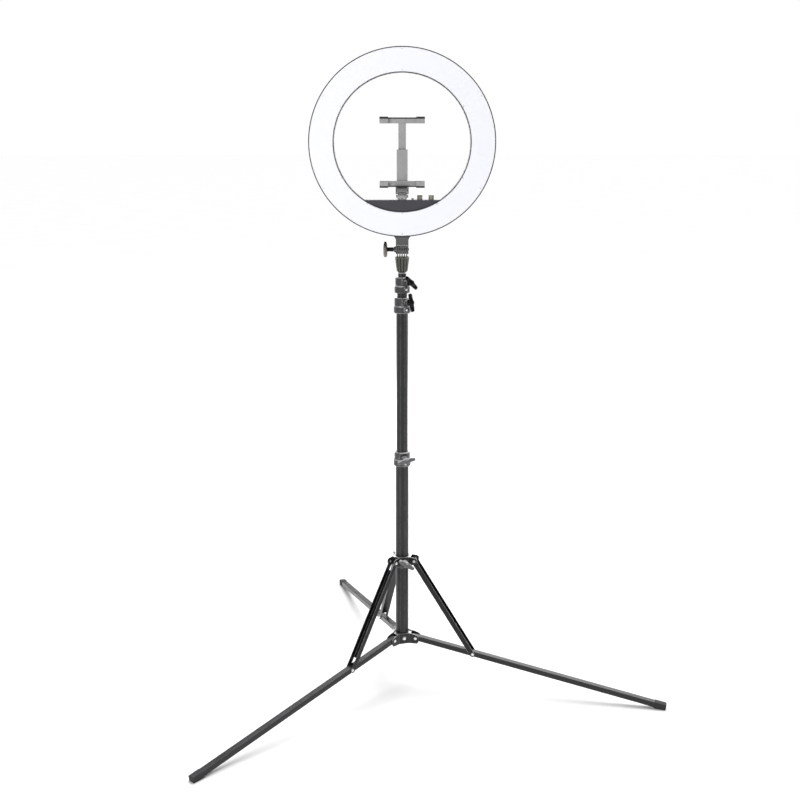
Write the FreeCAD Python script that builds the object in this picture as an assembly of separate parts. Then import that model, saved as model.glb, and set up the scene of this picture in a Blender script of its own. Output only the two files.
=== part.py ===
import FreeCAD, Part
import math
import os

# Ring light on a three-legged, four-section telescopic stand.
# Millimetres, +Z up. The origin is on the floor, under the axis of the column.
# The face of the ring looks along -Y.

# ---- driving dimensions: tripod -------------------------------------------------
FIRST_LEG_AZIMUTH = -133.66
LEG_NAMES = ("front_left", "right", "rear")
LEG_STEP = 120.0
LEG_PIVOT_R = 40.0
LEG_PIVOT_Z = 129.0
LEG_SLOPE = 10.3            # degrees that a leg falls below the horizontal
LEG_LENGTH = 688.0          # pivot to the middle of the foot
LEG_WIDTH = 18.0
LEG_HEIGHT = 14.0
LEG_WALL = 1.2
LEG_CORNER = 1.6
LEG_STUB = 9.0              # leg tube inboard of its pivot
FOOT_LENGTH = 28.0          # rubber cap inboard of the foot
FOOT_END = 3.0              # and beyond it
FOOT_WALL = 1.2
FOOT_SOLE = 2.0
BRACE_ON_LEG = 163.0        # brace joint, measured along the leg from its pivot
COLLAR_PIVOT_R = 36.0
COLLAR_PIVOT_Z = 353.0
BRACE_GAP = 18.8            # between a brace's flanges
BRACE_WALL = 1.2
BRACE_DEPTH = 13.8
BRACE_SHIFT = 1.4           # pivots sit this much nearer the open side
BRACE_WEB_ENDS = (22.0, 32.0)   # web left out beside the collar joint and the leg joint
RIVET_R = 3.0
RIVET_HEAD_R = 4.4
RIVET_HEAD_H = 2.0
RUNNING = 0.08              # radial clearance of a turning pin
PLATE_T = 2.0

# ---- driving dimensions: column -------------------------------------------------
TUBE_WALL = 1.5
TUBE_R = (17.5, 15.25, 13.0, 10.75)
SLIDE_GAP = 0.3
BASE_TUBE_Z = (118.0, 637.0)
SECTION_2_Z = (523.0, 1061.0)
SECTION_3_Z = (593.0, 1113.5)
SECTION_4_Z = (640.0, 1141.0)
GROOVES = 8
KNOB_THICK = 9.0
KNOB_QUARTER = ((25.0, 2.8), (22.5, 5.0), (9.0, 6.6), (3.0, 7.2))    # outline of one wing's upper half

# ---- driving dimensions: head ---------------------------------------------------
TILT_Z = 1203.0
FIN_PITCH = 6.0
UPPER_FIN_T = 2.9
LOWER_FIN_T = 2.8
GRIP_FLUTES = 12
FLUTE_R = 2.6
RING_Z = 1477.6
RING_R = 240.0
OPENING_R = 175.0
RING_HALF_DEPTH = 17.0
HOUSING_WALL = 2.2
BOX_TOP_Z = 1332.0
BOX_WALL = 2.0
DIAL_X = (45.5, 74.9)
DIAL_R = 7.1
DIAL_TOP_Z = 1344.5
HOLDER_TILT_Z = 1355.0
JAW_X = 47.0
JAW_WIDTH = 22.0
JAW_BOTTOM_Z = 1363.0
JAW_TOP_Z = 1543.0

LEG_AZIMUTHS = [FIRST_LEG_AZIMUTH + LEG_STEP * i for i in range(3)]
PLATE_AZIMUTHS = [a + LEG_STEP / 2 for a in LEG_AZIMUTHS]
FRONT_AZIMUTH = PLATE_AZIMUTHS[0]

V = FreeCAD.Vector
X_AXIS = V(1, 0, 0)
Y_AXIS = V(0, 1, 0)
Z_AXIS = V(0, 0, 1)
ORIGIN = V(0, 0, 0)


# ---- shared shapes --------------------------------------------------------------
def block(x0, x1, y0, y1, z0, z1):
    return Part.makeBox(x1 - x0, y1 - y0, z1 - z0, V(x0, y0, z0))


def rod(radius, start, end):
    axis = end - start
    return Part.makeCylinder(radius, axis.Length, start, axis)


def post(radius, z0, z1, x=0.0, y=0.0):
    return rod(radius, V(x, y, z0), V(x, y, z1))


def sleeve(outer, inner, z0, z1):
    return post(outer, z0, z1).cut(post(inner, z0 - 1, z1 + 1))


def turned(shape, azimuth):
    """The shape, built with +X pointing outwards, swung round the column."""
    copy = shape.copy()
    copy.rotate(ORIGIN, Z_AXIS, azimuth)
    return copy


def fused(shapes):
    """One solid from overlapping pieces."""
    whole = shapes[0].multiFuse(shapes[1:]).removeSplitter()
    return whole.Solids[0] if len(whole.Solids) == 1 else whole


def without(shape, tools):
    left = shape.cut(Part.makeCompound(tools)) if len(tools) == 1 else shape.cut(tools)
    return left.Solids[0] if len(left.Solids) == 1 else left


def group(shapes):
    return Part.makeCompound(shapes)


def lathe(points, axis_point=ORIGIN, axis=Z_AXIS):
    """Closed outline turned through a full circle."""
    face = Part.Face(Part.makePolygon(points + [points[0]]))
    return face.revolve(axis_point, axis, 360)


def lathe_z(profile):
    return lathe([V(r, 0, z) for r, z in profile])


def slab(points, height):
    """Closed outline pushed along a vector."""
    return Part.Face(Part.makePolygon(points + [points[0]])).extrude(height)


def rounded(shape, radius, wanted):
    """Fillet the edges that the test picks out."""
    edges = [e for e in shape.Edges if wanted(e)]
    return shape.makeFillet(radius, edges)


def along(axis):
    """Edge test: straight edges parallel to an axis."""
    def test(edge):
        if edge.Curve.TypeId != "Part::GeomLine":
            return False
        return abs(edge.Curve.Direction.dot(axis)) > 0.999
    return test


def rivet_head(radius, height, base, direction):
    """Low domed head: a truncated cone that narrows away from the plate."""
    return Part.makeCone(radius, radius * 0.62, height, base, direction)


# ---- tripod ---------------------------------------------------------------------
def on_leg(shape, azimuth):
    """From the leg's own frame (pivot at 0, +X to the foot) to its place."""
    copy = shape.copy()
    copy.rotate(ORIGIN, Y_AXIS, LEG_SLOPE)
    copy.translate(V(LEG_PIVOT_R, 0, LEG_PIVOT_Z))
    return turned(copy, azimuth)


def brace_joint():
    """Radius and height where a brace meets its leg."""
    slope = math.radians(LEG_SLOPE)
    return (LEG_PIVOT_R + BRACE_ON_LEG * math.cos(slope),
            LEG_PIVOT_Z - BRACE_ON_LEG * math.sin(slope))


def brace_length():
    r, z = brace_joint()
    return math.hypot(r - COLLAR_PIVOT_R, COLLAR_PIVOT_Z - z)


def on_brace(shape, azimuth):
    """From the brace's frame (upper pivot at 0, +X down to the leg) to its place."""
    r, z = brace_joint()
    fall = math.degrees(math.atan2(COLLAR_PIVOT_Z - z, r - COLLAR_PIVOT_R))
    copy = shape.copy()
    copy.rotate(ORIGIN, Y_AXIS, fall)
    copy.translate(V(COLLAR_PIVOT_R, 0, COLLAR_PIVOT_Z))
    return turned(copy, azimuth)


def leg_tube(azimuth):
    end = LEG_LENGTH - 6
    half_w = LEG_WIDTH / 2
    half_h = LEG_HEIGHT / 2
    outer = block(-LEG_STUB, end, -half_w, half_w, -half_h, half_h)
    outer = rounded(outer, LEG_CORNER, along(X_AXIS))
    in_w = half_w - LEG_WALL
    in_h = half_h - LEG_WALL
    hollow = block(-LEG_STUB - 1, end + 1, -in_w, in_w, -in_h, in_h)
    hollow = rounded(hollow, LEG_CORNER / 2, along(X_AXIS))
    holes = [rod(RIVET_R + RUNNING, V(x, -half_w - 1, 0), V(x, half_w + 1, 0))
             for x in (0.0, BRACE_ON_LEG)]
    return on_leg(without(outer, [hollow] + holes), azimuth)


def leg_foot(azimuth):
    """Slim rubber cap with a plug, cut flat where it stands on the floor."""
    start = LEG_LENGTH - FOOT_LENGTH
    end = LEG_LENGTH + FOOT_END
    half_w = LEG_WIDTH / 2 + FOOT_WALL
    cap = block(start, end, -half_w, half_w, -LEG_HEIGHT / 2 - FOOT_SOLE, LEG_HEIGHT / 2 + FOOT_WALL)
    cap = rounded(cap, 2.8, along(X_AXIS))
    cap = rounded(cap, 1.8, lambda e: e.BoundBox.XMin > end - 0.1)
    socket = block(start - 1, LEG_LENGTH - 6, -LEG_WIDTH / 2, LEG_WIDTH / 2, -LEG_HEIGHT / 2, LEG_HEIGHT / 2)
    socket = rounded(socket, LEG_CORNER, along(X_AXIS))
    in_w = LEG_WIDTH / 2 - LEG_WALL
    in_h = LEG_HEIGHT / 2 - LEG_WALL
    plug = rounded(block(start + 8, LEG_LENGTH, -in_w, in_w, -in_h, in_h), LEG_CORNER / 2, along(X_AXIS))
    cap = fused([without(cap, [socket]), plug])
    below_floor = block(0, 900, -60, 60, -60, 0)
    return without(on_leg(cap, azimuth), [turned(below_floor, azimuth)])


def brace(azimuth):
    """Channel that opens outwards, its web stopping short of both joints."""
    length = brace_length()
    inner = BRACE_GAP / 2
    outer = inner + BRACE_WALL
    half_d = BRACE_DEPTH / 2
    back = -half_d - BRACE_SHIFT
    front = half_d - BRACE_SHIFT
    sides = block(0, length, -outer, outer, back, front)
    ends = [rod(half_d, V(x, -outer, -BRACE_SHIFT), V(x, outer, -BRACE_SHIFT)) for x in (0.0, length)]
    body = fused([sides] + ends)
    channel = block(-20, length + 20, -inner, inner, back + BRACE_WALL, front + 1)
    upper_gap, lower_gap = BRACE_WEB_ENDS
    web_ends = [block(-20, upper_gap, -inner, inner, back - 1, front + 1),
                block(length - lower_gap, length + 20, -inner, inner, back - 1, front + 1)]
    holes = [rod(RIVET_R + RUNNING, V(0, -outer - 1, 0), V(0, outer + 1, 0)),
             rod(RIVET_R, V(length, -outer - 1, 0), V(length, outer + 1, 0))]
    return on_brace(without(body, [channel] + web_ends + holes), azimuth)


def brace_rivets(azimuth):
    """Two short rivets, one in each flange, at the joint with the leg."""
    length = brace_length()
    inner = BRACE_GAP / 2
    outer = inner + BRACE_WALL
    rivets = []
    for side in (1, -1):
        shank = rod(RIVET_R, V(length, side * inner, 0), V(length, side * outer, 0))
        head = rivet_head(RIVET_HEAD_R, RIVET_HEAD_H, V(length, side * outer, 0), V(0, side, 0))
        rivets.append(fused([shank, head]))
    return on_brace(group(rivets), azimuth)


def sector_points(flat, offset, reach):
    """Inner corners of one bent plate: its flat faces +X, a wing lies each side of it.

    flat is the distance from the column's axis to the flat, offset is from a leg's
    middle plane to the wing, and reach is how far the wing runs out along the leg.
    """
    leg = math.radians(LEG_STEP / 2)
    bend = (flat - offset * math.sin(leg)) / math.cos(leg)
    points = []
    for distance in (reach, bend):
        x = distance * math.cos(leg) + offset * math.sin(leg)
        y = distance * math.sin(leg) - offset * math.cos(leg)
        points.append((x, y))
    return points


def bent_plate(flat, offset, reach, profile, hole_z, flat_hole_r):
    """Pressed plate between two neighbouring legs, arched by the turned profile."""
    (xe, ye), (xb, yb) = sector_points(flat, offset, reach)
    (xo, yo), (xc, yc) = sector_points(flat + PLATE_T, offset + PLATE_T, reach)
    outline = [(xe, ye), (xb, yb), (xb, -yb), (xe, -ye), (xo, -yo), (xc, -yc), (xc, yc), (xo, yo)]
    low = min(z for _, z in profile) - 5
    high = max(z for _, z in profile) + 5
    sheet = slab([V(x, y, low) for x, y in outline], V(0, 0, high - low))
    sheet = sheet.common(lathe_z(profile))
    pivot_r, pivot_z, flat_z = hole_z
    tools = [rod(flat_hole_r, V(0, 0, flat_z), V(60, 0, flat_z))]
    for side in (1, -1):
        pin = rod(RIVET_R, V(pivot_r, -60 * side, pivot_z), V(pivot_r, 0, pivot_z))
        tools.append(turned(pin, side * LEG_STEP / 2))
    return without(sheet, tools)


HUB_FLAT = 19.5
HUB_OFFSET = 9.5
HUB_REACH = 52.0
HUB_PROFILE = [(0, 114), (46, 114), (50, 118), (51, 133), (46, 138), (36, 141.5), (24, 143.5), (0, 143.5)]
COLLAR_FLAT = 20.5
COLLAR_OFFSET = 11.4
COLLAR_REACH = 46.0
COLLAR_PROFILE = [(0, 341), (30, 341), (42, 345), (46, 350), (46, 359), (41, 363), (30, 364), (0, 364)]
COLLAR_KNOB_Z = 351.0


def core_prism(flat, offset, reach, z0, z1):
    """Casting that fills the space between the plates, out to the leg slots."""
    (xe, ye), (xb, yb) = sector_points(flat, offset, reach)
    outline = []
    for i in range(3):
        a = math.radians(LEG_STEP * i)
        for x, y in ((xe, -ye), (xb, -yb), (xb, yb), (xe, ye)):
            outline.append(V(x * math.cos(a) - y * math.sin(a), x * math.sin(a) + y * math.cos(a), z0))
    return turned(slab(outline, V(0, 0, z1 - z0)), FRONT_AZIMUTH)


def hub_core():
    core = core_prism(HUB_FLAT, HUB_OFFSET, 26, 116, 141)
    bore = post(TUBE_R[0], BASE_TUBE_Z[0], 150)
    rivet_holes = [turned(rod(RIVET_R, V(10, 0, LEG_PIVOT_Z), V(30, 0, LEG_PIVOT_Z)), a)
                   for a in PLATE_AZIMUTHS]
    return without(core, [bore] + rivet_holes)


def hub_plates():
    plate = bent_plate(HUB_FLAT, HUB_OFFSET, HUB_REACH, HUB_PROFILE,
                       (LEG_PIVOT_R, LEG_PIVOT_Z, LEG_PIVOT_Z), RIVET_R)
    return group([turned(plate, a) for a in PLATE_AZIMUTHS])


def hub_rivets():
    """Three rivets in the flats and three pivot pins through the legs."""
    rivets = []
    face = HUB_FLAT + PLATE_T
    for azimuth in PLATE_AZIMUTHS:
        shank = rod(RIVET_R, V(TUBE_R[0], 0, LEG_PIVOT_Z), V(face, 0, LEG_PIVOT_Z))
        head = rivet_head(5.2, 2.4, V(face, 0, LEG_PIVOT_Z), X_AXIS)
        round_the_tube = post(TUBE_R[0], 100, 150)
        rivets.append(turned(without(fused([shank, head]), [round_the_tube]), azimuth))
    half = HUB_OFFSET + PLATE_T
    for azimuth in LEG_AZIMUTHS:
        pin = rod(RIVET_R, V(LEG_PIVOT_R, -half, LEG_PIVOT_Z), V(LEG_PIVOT_R, half, LEG_PIVOT_Z))
        heads = [rivet_head(RIVET_HEAD_R, RIVET_HEAD_H, V(LEG_PIVOT_R, s * half, LEG_PIVOT_Z), V(0, s, 0))
                 for s in (1, -1)]
        rivets.append(turned(fused([pin] + heads), azimuth))
    return group(rivets)


def collar_core():
    """Sliding sleeve of the upper collar."""
    core = core_prism(COLLAR_FLAT, COLLAR_OFFSET, 26, 342, 364.5)
    skirt = post(COLLAR_FLAT - 0.2, 334, 350)
    bore = post(TUBE_R[0] + SLIDE_GAP, 330, 370)
    holes = [turned(rod(RIVET_R, V(10, 0, COLLAR_PIVOT_Z), V(30, 0, COLLAR_PIVOT_Z)), a)
             for a in PLATE_AZIMUTHS[1:]]
    knob_hole = turned(rod(RIVET_R + RUNNING, V(10, 0, COLLAR_KNOB_Z), V(30, 0, COLLAR_KNOB_Z)),
                       FRONT_AZIMUTH)
    return without(fused([core, skirt]), [bore, knob_hole] + holes)


def collar_plates():
    plates = []
    for azimuth in PLATE_AZIMUTHS:
        front = azimuth == FRONT_AZIMUTH
        flat_z = COLLAR_KNOB_Z if front else COLLAR_PIVOT_Z
        hole_r = RIVET_R + SLIDE_GAP if front else RIVET_R
        plate = bent_plate(COLLAR_FLAT, COLLAR_OFFSET, COLLAR_REACH, COLLAR_PROFILE,
                           (COLLAR_PIVOT_R, COLLAR_PIVOT_Z, flat_z), hole_r)
        plates.append(turned(plate, azimuth))
    return group(plates)


def collar_rivets():
    """Rivets in two flats, and a short pivot rivet in every wing."""
    rivets = []
    face = COLLAR_FLAT + PLATE_T
    for azimuth in PLATE_AZIMUTHS[1:]:
        shank = rod(RIVET_R, V(TUBE_R[0] + 1, 0, COLLAR_PIVOT_Z), V(face, 0, COLLAR_PIVOT_Z))
        head = rivet_head(5.2, 2.4, V(face, 0, COLLAR_PIVOT_Z), X_AXIS)
        rivets.append(turned(fused([shank, head]), azimuth))
    tip = BRACE_GAP / 2 + 0.2
    outside = COLLAR_OFFSET + PLATE_T
    for azimuth in LEG_AZIMUTHS:
        for side in (1, -1):
            shank = rod(RIVET_R, V(COLLAR_PIVOT_R, side * tip, COLLAR_PIVOT_Z),
                        V(COLLAR_PIVOT_R, side * outside, COLLAR_PIVOT_Z))
            head = rivet_head(RIVET_HEAD_R, RIVET_HEAD_H,
                              V(COLLAR_PIVOT_R, side * outside, COLLAR_PIVOT_Z), V(0, side, 0))
            rivets.append(turned(fused([shank, head]), azimuth))
    return group(rivets)


# ---- column ---------------------------------------------------------------------
def grooved_tube(radius, z0, z1):
    """Drawn tube with shallow lengthwise grooves."""
    tube = sleeve(radius, radius - TUBE_WALL, z0, z1)
    groove = block(radius - 0.45, radius + 1, -0.8, 0.8, z0 - 1, z1 + 1)
    return without(tube, [turned(groove, FRONT_AZIMUTH + 10 + 360.0 / GROOVES * i) for i in range(GROOVES)])


def end_bush(radius, outer_bore, z):
    """Plastic plug on the lower end of an inner tube."""
    guide = post(outer_bore - SLIDE_GAP, z - 12, z)
    plug = post(radius - TUBE_WALL, z - 1, z + 12)
    hollow = post(radius - TUBE_WALL - 2, z - 13, z + 13)
    return without(fused([guide, plug]), [hollow])


def wing_knob(azimuth, z, stud_end, hub_start, wing_r, tilt):
    """Two-winged clamp knob with its moulded-in stud, on a radial axis."""
    front = wing_r + KNOB_THICK / 2
    back = wing_r - KNOB_THICK / 2
    corners = [(-y, z) for y, z in KNOB_QUARTER] + [(y, z) for y, z in reversed(KNOB_QUARTER)]
    corners += [(-y, -z) for y, z in corners]
    wing = slab([V(back, y, z) for y, z in corners], V(KNOB_THICK, 0, 0))
    dish = Part.makeTorus(KNOB_QUARTER[0][0] * 1.24, 9.0, V(front + 6.5, 0, 0), X_AXIS)
    wing = wing.cut(dish)
    hub = rod(7.8, V(hub_start, 0, 0), V(front, 0, 0))
    button = Part.makeCone(5.6, 4.6, 1.2, V(front, 0, 0), X_AXIS)
    stud = rod(RIVET_R, V(stud_end, 0, 0), V(back, 0, 0))
    knob = fused([wing, hub, button, stud])
    knob.rotate(ORIGIN, X_AXIS, tilt)
    knob.translate(V(0, 0, z))
    return turned(knob, azimuth)


# each clamp: bottom, step and top heights, radii of both rings, and its knob and screw
CLAMPS = {
    "mid_clamp": {"z": (620.0, 639.0, 659.0), "ring_r": (23.2, 21.4), "outer": 0, "tube_top": BASE_TUBE_Z[1],
                  "knob_azimuth": FRONT_AZIMUTH, "knob_z": 642.0, "boss_r": 31.0, "wing_r": 42.0,
                  "tilt": 12.0, "screw_azimuth": FRONT_AZIMUTH + 4, "screw_z": 628.8},
    "clamp_2": {"z": (1035.5, 1055.5, 1077.5), "ring_r": (22.0, 20.4), "outer": 1, "tube_top": SECTION_2_Z[1],
                "knob_azimuth": -48.0, "knob_z": 1066.0, "boss_r": 27.0, "wing_r": 36.0,
                "tilt": -78.0, "screw_azimuth": -62.0, "screw_z": 1046.0},
    "clamp_3": {"z": (1089.0, 1109.0, 1131.0), "ring_r": (20.2, 18.0), "outer": 2, "tube_top": SECTION_3_Z[1],
                "knob_azimuth": -48.0, "knob_z": 1118.0, "boss_r": 27.0, "wing_r": 36.0,
                "tilt": -42.0, "screw_azimuth": -62.0, "screw_z": 1099.5},
}


CLAMP_LEDGE = 3.0             # height of the slope between the two rings
CLAMP_RIM = 2.0


def clamp_body(spec):
    """Split two-ring casting: the lower ring holds the outer tube, the upper grips the inner."""
    z0, z_step, z1 = spec["z"]
    low_r, high_r = spec["ring_r"]
    outer_r = TUBE_R[spec["outer"]]
    inner_r = TUBE_R[spec["outer"] + 1]
    shell = lathe_z([(0, z0), (low_r - 1.5, z0), (low_r, z0 + 1.5), (low_r, z_step - CLAMP_LEDGE),
                     (high_r, z_step), (high_r, z1 - CLAMP_RIM), (high_r - CLAMP_RIM, z1), (0, z1)])
    knob_z = spec["knob_z"]
    knob_boss = turned(rod(8.6, V(5, 0, knob_z), V(spec["boss_r"], 0, knob_z)), spec["knob_azimuth"])
    screw_z = spec["screw_z"]
    screw_boss = turned(rod(7.0, V(5, 0, screw_z), V(low_r + 4, 0, screw_z)), spec["screw_azimuth"])
    bores = [post(outer_r, z0 - 1, spec["tube_top"]),
             post(inner_r + SLIDE_GAP, z0, z1 + 1),
             turned(rod(RIVET_R + RUNNING, V(5, 0, knob_z), V(40, 0, knob_z)), spec["knob_azimuth"]),
             turned(rod(1.5, V(5, 0, screw_z), V(40, 0, screw_z)), spec["screw_azimuth"])]
    slot = turned(block(5, 40, -1, 1, z_step + 2, z1 + 1), spec["knob_azimuth"] - 42)
    return without(fused([shell, knob_boss, screw_boss]), bores + [slot])


def clamp_screw(spec):
    """Cross-head screw that pins the clamp to the outer tube."""
    z = spec["screw_z"]
    face = spec["ring_r"][0] + 4
    shank = rod(1.5, V(TUBE_R[spec["outer"]], 0, z), V(face, 0, z))
    head = rivet_head(3.4, 1.8, V(face, 0, z), X_AXIS)
    cross = [block(face + 1, face + 3, -2, 2, z - 0.35, z + 0.35),
             block(face + 1, face + 3, -0.35, 0.35, z - 2, z + 2)]
    shaped = without(fused([shank, head]), [post(TUBE_R[spec["outer"]], z - 10, z + 10)] + cross)
    return turned(shaped, spec["screw_azimuth"])


def clamp_knob(spec):
    stud_end = TUBE_R[spec["outer"] + 1] + 0.8
    return wing_knob(spec["knob_azimuth"], spec["knob_z"], stud_end, spec["boss_r"] + 0.5,
                     spec["wing_r"], spec["tilt"])


def spigot():
    """Stud on top of the last section that carries the head."""
    bore = TUBE_R[3] - TUBE_WALL
    top = SECTION_4_Z[1]
    return lathe_z([(0, 1122), (bore, 1122), (bore, top), (TUBE_R[3], top), (TUBE_R[3], 1142.5), (8, 1142.5),
                    (8, 1165), (7.2, 1166), (3.2, 1166), (3.2, 1177), (2.4, 1178), (0, 1178)])


# ---- head joint -----------------------------------------------------------------
def grip_cone():
    """Fluted hand grip that locks the head on the spigot."""
    cone = lathe_z([(8.3, 1143), (10.5, 1143), (14.2, 1147), (18.4, 1181), (19, 1182), (19, 1183.5),
                    (17.4, 1184), (16.8, 1182.2), (7.4, 1182.2), (7.4, 1167), (8.3, 1166.5)])
    flutes = []
    for i in range(GRIP_FLUTES):
        flute = rod(FLUTE_R, V(14.4, 0, 1144), V(18.5, 0, 1178.5))
        end = Part.makeSphere(FLUTE_R, V(18.5, 0, 1178.5))
        flutes.append(turned(flute.fuse(end), 360.0 / GRIP_FLUTES * (i + 0.5)))
    return without(cone, flutes)


def tilt_base():
    """Lower half of the tilt knuckle: five fins on a stem that fits over the stud."""
    stem = post(7.0, 1166.3, 1183)
    flange = post(16.4, 1182.6, 1185)
    fins = []
    for i in range(-2, 3):
        x = i * FIN_PITCH
        half = LOWER_FIN_T / 2
        fins.append(block(x - half, x + half, -9, 9, 1184, TILT_Z))
        fins.append(rod(9.6, V(x - half, 0, TILT_Z), V(x + half, 0, TILT_Z)))
    bores = [post(3.28, 1160, 1179), rod(RIVET_R + RUNNING, V(-20, 0, TILT_Z), V(20, 0, TILT_Z))]
    return without(fused([stem, flange] + fins), bores)


BRACKET_HALF = 2.5 * FIN_PITCH + UPPER_FIN_T / 2


def tilt_bracket():
    """Upper half of the knuckle: six fins under a neck that flares to meet the ring."""
    half_y = 12.0
    neck_z = TILT_Z + 11.5
    outline = [V(-BRACKET_HALF, -half_y, neck_z), V(BRACKET_HALF, -half_y, neck_z),
               V(BRACKET_HALF, -half_y, 1229), V(18.4, -half_y, 1234), V(22.3, -half_y, 1238.5),
               V(22.3, -half_y, 1245), V(-22.3, -half_y, 1245), V(-22.3, -half_y, 1238.5),
               V(-18.4, -half_y, 1234), V(-BRACKET_HALF, -half_y, 1229)]
    neck = slab(outline, V(0, 2 * half_y, 0))
    fins = []
    for i in range(6):
        x = (i - 2.5) * FIN_PITCH
        half = UPPER_FIN_T / 2
        fins.append(block(x - half, x + half, -half_y, half_y, TILT_Z, neck_z + 1))
        fins.append(rod(12.0, V(x - half, 0, TILT_Z), V(x + half, 0, TILT_Z)))
    boss = Part.makeCone(5.6, 9.0, 6.0, V(-BRACKET_HALF - 6, 0, TILT_Z), X_AXIS)
    ring_seat = rod(RING_R, V(0, -40, RING_Z), V(0, 40, RING_Z))
    bolt_hole = rod(RIVET_R + RUNNING, V(-40, 0, TILT_Z), V(40, 0, TILT_Z))
    return without(fused([neck, boss] + fins), [ring_seat, bolt_hole])


def tilt_knob():
    """Disc knob on a collar, with the clamp bolt that runs through the fins."""
    disc = lathe([V(-49, 0, TILT_Z), V(-49, 0, TILT_Z + 8), V(-47.6, 0, TILT_Z + 18), V(-45.5, 0, TILT_Z + 20.4),
                  V(-42.5, 0, TILT_Z + 20.4), V(-40.2, 0, TILT_Z + 18), V(-38.4, 0, TILT_Z + 8),
                  V(-38.4, 0, TILT_Z)], V(0, 0, TILT_Z), X_AXIS)
    collar = rod(6.0, V(-40, 0, TILT_Z), V(-BRACKET_HALF - 6.4, 0, TILT_Z))
    bolt = rod(RIVET_R, V(-30, 0, TILT_Z), V(BRACKET_HALF + 1.5, 0, TILT_Z))
    return fused([disc, collar, bolt])


# ---- ring -----------------------------------------------------------------------
SCREW_R = 1.3
OUTER_SCREWS = [(232.4, 90 + 60 * i) for i in range(6)]
INNER_SCREWS = [(180.3, a) for a in (90, 30, -30, -60, -90, -120, -150, 150)]
COVER_SCREWS = [(-59.5, 1325.0), (-14.0, 1309.0), (14.0, 1309.0), (59.5, 1325.0)]
DIFFUSER_BACK = -14.5
DIFFUSER_FRONT = -16.6


def ring_point(radius, degrees, y):
    a = math.radians(degrees)
    return V(radius * math.cos(a), y, RING_Z + radius * math.sin(a))


def ring_lathe(profile):
    """Outline of (radius, y) points turned about the ring's own axis."""
    return lathe([V(r, y, RING_Z) for r, y in profile], V(0, 0, RING_Z), Y_AXIS)


def ring_housing():
    """Rear tray of the ring, with its screw bosses and board posts."""
    d = RING_HALF_DEPTH
    w = HOUSING_WALL
    tray = ring_lathe([(OPENING_R, -d), (OPENING_R + w, -d), (OPENING_R + w, d - w), (RING_R - w, d - w),
                       (RING_R - w, -d), (RING_R, -d), (RING_R, d - 7), (RING_R - 2, d - 2.6), (RING_R - 7, d),
                       (OPENING_R + 5, d), (OPENING_R + 1.4, d - 1.6), (OPENING_R, d - 5)])
    bosses = [rod(2.9, ring_point(r, a, DIFFUSER_BACK), ring_point(r, a, d - 1))
              for r, a in OUTER_SCREWS + INNER_SCREWS]
    posts = [rod(3.6, ring_point(206, 60 * i, 10.6), ring_point(206, 60 * i, d - 1)) for i in range(6)]
    holes = [rod(SCREW_R, ring_point(r, a, -20), ring_point(r, a, -4))
             for r, a in OUTER_SCREWS + INNER_SCREWS]
    return without(fused([tray] + bosses + posts), holes)


def diffuser():
    """Opal cover of the light."""
    inner = OPENING_R + HOUSING_WALL
    outer = RING_R - HOUSING_WALL
    front = DIFFUSER_FRONT
    cover = ring_lathe([(inner, DIFFUSER_BACK), (outer, DIFFUSER_BACK), (outer, front + 0.8), (outer - 0.8, front),
                        (inner + 0.8, front), (inner, front + 0.8)])
    holes = [rod(SCREW_R, ring_point(r, a, -20), ring_point(r, a, -4))
             for r, a in OUTER_SCREWS + INNER_SCREWS]
    return without(cover, holes)


def led_board():
    """Circuit board with two circles of light-emitting diodes."""
    board = ring_lathe([(185, 9.0), (228, 9.0), (228, 10.6), (185, 10.6)])
    pieces = [board]
    for radius in (196, 217):
        for i in range(40):
            lamp = block(-2.5, 2.5, 7.4, 9.0, radius - 2.5, radius + 2.5)
            lamp.rotate(ORIGIN, Y_AXIS, 360.0 / 40 * i)
            lamp.translate(V(0, 0, RING_Z))
            pieces.append(lamp)
    return group(pieces)


def screw(tip, direction, length, head_r=2.3, head_h=1.2):
    """Small screw: its head sits at tip, its shank runs back against direction."""
    shank = rod(SCREW_R, tip - direction * length, tip)
    head = rivet_head(head_r, head_h, tip, direction)
    return fused([shank, head])


def housing_screws():
    screws = [screw(ring_point(r, a, DIFFUSER_FRONT), V(0, -1, 0), 10)
              for r, a in OUTER_SCREWS + INNER_SCREWS]
    screws += [screw(V(x, RING_HALF_DEPTH, z), Y_AXIS, 10) for x, z in COVER_SCREWS]
    return group(screws)


# ---- control box ----------------------------------------------------------------
BOX_Y = (-15.0, 15.0)
SWITCH_X = 27.0
INLET = (-36.0, 1317.5)


def segment(radius, top_z, y0, y1):
    """Slice of the opening below a level, between two depths."""
    disc = rod(radius, V(0, y0, RING_Z), V(0, y1, RING_Z))
    return disc.common(block(-200, 200, y0 - 1, y1 + 1, RING_Z - 200, top_z))


def control_box():
    shell = segment(OPENING_R, BOX_TOP_Z, *BOX_Y)
    cavity = segment(OPENING_R - BOX_WALL, BOX_TOP_Z - BOX_WALL, BOX_Y[0] + BOX_WALL, BOX_Y[1] + 1)
    bosses = [rod(2.9, V(x, BOX_Y[0] + 1, z), V(x, BOX_Y[1], z)) for x, z in COVER_SCREWS]
    room = segment(OPENING_R - 1, BOX_TOP_Z - 1, *BOX_Y)
    whole = fused([without(shell, [cavity])] + [b.common(room) for b in bosses])
    holes = [rod(SCREW_R, V(x, 5, z), V(x, 30, z)) for x, z in COVER_SCREWS]
    holes += [post(3.3, BOX_TOP_Z - 5, BOX_TOP_Z + 5, x) for x in DIAL_X]
    holes.append(block(SWITCH_X - 3.3, SWITCH_X + 7.3, -1.8, 1.8, BOX_TOP_Z - 5, BOX_TOP_Z + 5))
    return without(whole, holes)


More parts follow.
